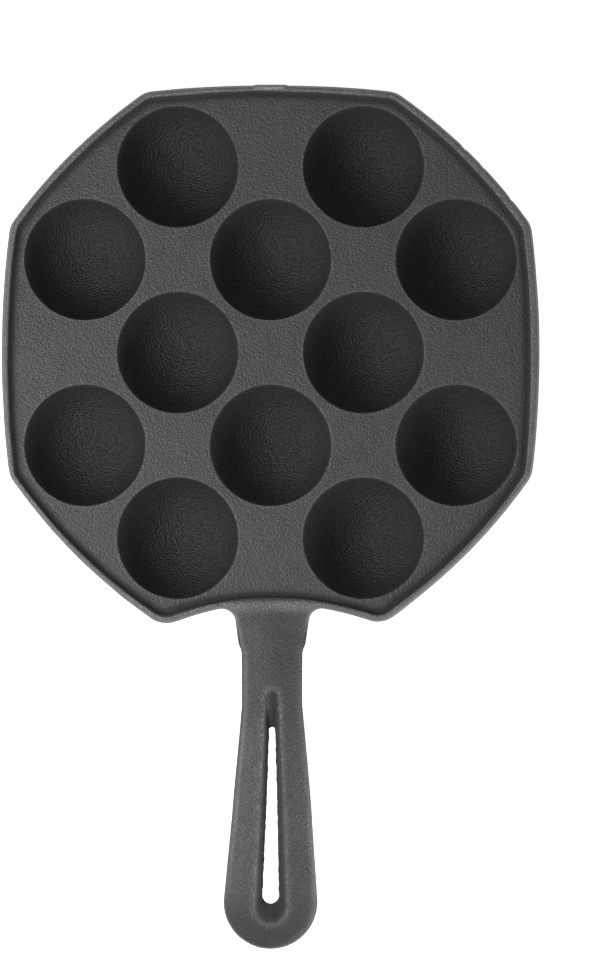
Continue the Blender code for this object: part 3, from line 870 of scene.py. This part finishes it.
def cast_iron():
    """Dull grey iron: uneven and speckled by the grain, then darkened or brightened by the masks,
    with the grain as its bump, which is deeper in the wells."""
    material = bpy.data.materials.new("cast_iron")
    material.use_nodes = True
    nodes, links = material.node_tree.nodes, material.node_tree.links
    shader = nodes["Principled BSDF"]
    shader.inputs["Metallic"].default_value = 0.25
    shader.inputs["Specular IOR Level"].default_value = 0.8
    grain = nodes.new("ShaderNodeGroup")
    grain.node_tree = sand_grain_group()
    grain.inputs["Grain size"].default_value = GRAIN_SIZE
    colour = nodes.new("ShaderNodeValToRGB")
    colour.color_ramp.elements[0].position, colour.color_ramp.elements[1].position = 0.3, 0.72
    colour.color_ramp.elements[0].color = DARK_IRON
    colour.color_ramp.elements[1].color = LIGHT_IRON
    links.new(grain.outputs["Tone"], colour.inputs["Fac"])
    fleck = nodes.new("ShaderNodeMapRange")
    fleck.inputs["From Min"].default_value, fleck.inputs["From Max"].default_value = 0.25, 0.75
    fleck.inputs["To Min"].default_value, fleck.inputs["To Max"].default_value = SPECK_RANGE
    links.new(grain.outputs["Speck"], fleck.inputs["Value"])
    flecked = nodes.new("ShaderNodeMix")
    flecked.data_type, flecked.blend_type = "RGBA", "MULTIPLY"
    flecked.inputs[0].default_value = 1
    links.new(colour.outputs["Color"], flecked.inputs[6])
    links.new(fleck.outputs["Result"], flecked.inputs[7])
    rough = nodes.new("ShaderNodeMapRange")
    rough.inputs["To Min"].default_value, rough.inputs["To Max"].default_value = ROUGHNESS_RANGE
    links.new(grain.outputs["Tone"], rough.inputs["Value"])
    shade, dullness = flecked.outputs[2], rough.outputs["Result"]
    for name, (tint, roughness) in IRON_MARKS.items():
        mask, mix, dull = (nodes.new("ShaderNode" + kind) for kind in ("Attribute", "Mix", "Mix"))
        mask.attribute_name = name
        mix.data_type, mix.blend_type = "RGBA", "MULTIPLY"
        links.new(mask.outputs["Fac"], mix.inputs[0])
        links.new(shade, mix.inputs[6])
        mix.inputs[7].default_value = (tint, tint, tint, 1)
        shade = mix.outputs[2]
        links.new(mask.outputs["Fac"], dull.inputs[0])
        links.new(dullness, dull.inputs[2])
        dull.inputs[3].default_value = roughness
        dullness = dull.outputs[0]
    links.new(shade, shader.inputs["Base Color"])
    links.new(dullness, shader.inputs["Roughness"])
    in_well, deeper, height = (nodes.new("ShaderNode" + kind) for kind in ("Attribute", "MapRange", "Math"))
    in_well.attribute_name = "well_tint"
    links.new(in_well.outputs["Fac"], deeper.inputs["Value"])
    deeper.inputs["To Min"].default_value, deeper.inputs["To Max"].default_value = 1, WELL_GRAIN
    height.operation = "MULTIPLY"
    links.new(grain.outputs["Height"], height.inputs[0])
    links.new(deeper.outputs["Result"], height.inputs[1])
    bump = nodes.new("ShaderNodeBump")
    bump.inputs["Strength"].default_value = 1.0
    bump.inputs["Distance"].default_value = GRAIN_DEPTH
    links.new(height.outputs[0], bump.inputs["Height"])
    links.new(bump.outputs["Normal"], shader.inputs["Normal"])
    return material


pan_iron = iron_skin()
pan_iron.data.materials.append(cast_iron())
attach(pan_iron, "root")
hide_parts("pan")

# The table under the pan, plain white, which keeps the pan's soft shadow. It lies just
# under the feet and reaches far out on all sides, so that nothing else shows behind the pan.
TABLE_REACH = 15.0
TABLE_LEVEL = -0.0006
TABLE_GLOW = 0.84


def white_table():
    """A white sheet that also glows a little where the camera or a reflection sees it."""
    mesh = bpy.data.meshes.new("table")
    signs = ((-1, -1), (1, -1), (1, 1), (-1, 1))
    corners = [(x * TABLE_REACH, y * TABLE_REACH, TABLE_LEVEL) for x, y in signs]
    mesh.from_pydata(corners, [], [(0, 1, 2, 3)])
    table = bpy.data.objects.new("table", mesh)
    bpy.context.scene.collection.objects.link(table)
    material = bpy.data.materials.new("white_table")
    material.use_nodes = True
    nodes, links = material.node_tree.nodes, material.node_tree.links
    shader = nodes["Principled BSDF"]
    shader.inputs["Base Color"].default_value = (0.8, 0.8, 0.8, 1)
    shader.inputs["Roughness"].default_value = 0.9
    shader.inputs["Emission Color"].default_value = (1, 1, 1, 1)
    path = nodes.new("ShaderNodeLightPath")
    seen, seen_too, glow = (nodes.new("ShaderNodeMath") for _ in range(3))
    seen.operation, seen_too.operation, glow.operation = "ADD", "ADD", "MULTIPLY"
    links.new(path.outputs["Is Camera Ray"], seen.inputs[0])
    links.new(path.outputs["Is Glossy Ray"], seen.inputs[1])
    links.new(seen.outputs[0], seen_too.inputs[0])
    links.new(path.outputs["Is Transmission Ray"], seen_too.inputs[1])
    links.new(seen_too.outputs[0], glow.inputs[0])
    glow.inputs[1].default_value = TABLE_GLOW
    links.new(glow.outputs[0], shader.inputs["Emission Strength"])
    mesh.materials.append(material)


white_table()

# The light. One soft lamp stands at the lower left of the picture and shades the wells, a weak low
# one at the lower right picks out the handle's edge, and the white room fills in evenly.
ROOM_STRENGTH = 0.34


def lamp(name, place, aim, size, power):
    """A square lamp at a place, turned towards the point that it is aimed at."""
    data = bpy.data.lights.new(name, "AREA")
    data.shape = "SQUARE"
    data.size, data.energy = size, power
    obj = bpy.data.objects.new(name, data)
    obj.location = place
    obj.rotation_mode = "QUATERNION"
    obj.rotation_quaternion = (Vector(aim) - Vector(place)).to_track_quat("-Z", "Y")
    bpy.context.scene.collection.objects.link(obj)


lamp("key", place=(-0.27, -0.07, 0.35), aim=(0, 0.03, 0.02), size=0.20, power=1.6)
lamp("fill", place=(0.22, -0.15, 0.075), aim=(0, -0.12, 0.02), size=0.12, power=0.42)

world = bpy.data.worlds.new("room")
bpy.context.scene.world = world
world.use_nodes = True
background = world.node_tree.nodes["Background"]
background.inputs["Color"].default_value = (1, 1, 1, 1)
background.inputs["Strength"].default_value = ROOM_STRENGTH

# The camera looks straight down from far above, so that the wells show hardly any wall. The
# picture's long side spans the view length at the height of the plate.
CAMERA_PLACE = (0.0098, 0.01085, 3.0)
VIEW_LENGTH = 0.3232
SENSOR_WIDTH = 36
camera_data = bpy.data.cameras.new("camera")
camera = bpy.data.objects.new("camera", camera_data)
camera.location = CAMERA_PLACE
camera_data.sensor_width = SENSOR_WIDTH
camera_data.lens = SENSOR_WIDTH * (CAMERA_PLACE[2] - PLATE_UNDER) / VIEW_LENGTH
bpy.context.scene.collection.objects.link(camera)
bpy.context.scene.camera = camera
bpy.context.scene.view_settings.view_transform = "Standard"
